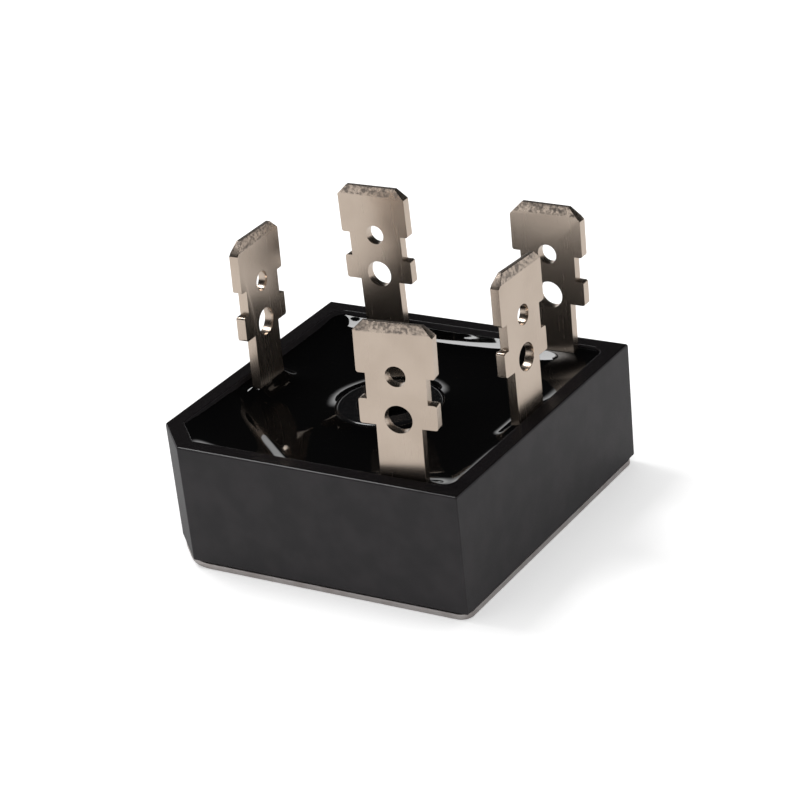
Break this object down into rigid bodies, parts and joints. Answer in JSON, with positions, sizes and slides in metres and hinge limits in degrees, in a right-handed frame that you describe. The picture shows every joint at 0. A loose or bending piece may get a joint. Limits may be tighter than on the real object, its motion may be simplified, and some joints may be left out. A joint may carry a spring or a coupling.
{
  "type": "three-phase bridge rectifier",
  "caption": "Square potted bridge rectifier on a metal base plate, with upright quick-connect tabs and a screw hole through its middle.",
  "frame": {"origin": "middle of the screw hole on the underside of the base plate", "axes": "+Z out of the underside towards the tabs; the case's cut corner is at -X -Y, and the positive tab stands on the -X side"},
  "size_m": [0.0286, 0.0286, 0.023],
  "materials": {
    "case_plastic": "moulded black plastic, matt",
    "resin": "poured black resin, glossy",
    "sleeve_plastic": "moulded black plastic, wetted with resin",
    "base_metal": "nickel-plated, satin",
    "tab_metal": "stamped and nickel-plated",
    "copper": "bare copper sheet",
    "silicon": "diode chip, metallised",
    "solder": "dull solder",
    "ceramic": "fired alumina, opaque white",
    "adhesive": "cured adhesive bead"
  },
  "bodies": {
    "root": {"case": "case_plastic", "base_plate": "base_metal", "base_seal": "adhesive", "centre_sleeve": "sleeve_plastic", "ceramic_sheet": "ceramic", "ceramic_solder": "solder", "plate_solder": "solder", "positive_plate": "copper", "negative_plate": "copper", "diode_1": "silicon", "diode_2": "silicon", "diode_3": "silicon", "diode_4": "silicon", "diode_5": "silicon", "diode_6": "silicon", "chip_solder": "solder", "ac_bar_1": "copper", "ac_bar_2": "copper", "ac_bar_3": "copper", "foot_solder": "solder", "positive_tab": "tab_metal", "negative_tab": "tab_metal", "ac_tab_1": "tab_metal", "ac_tab_2": "tab_metal", "ac_tab_3": "tab_metal", "resin": "resin"}
  },
  "joints": []
}
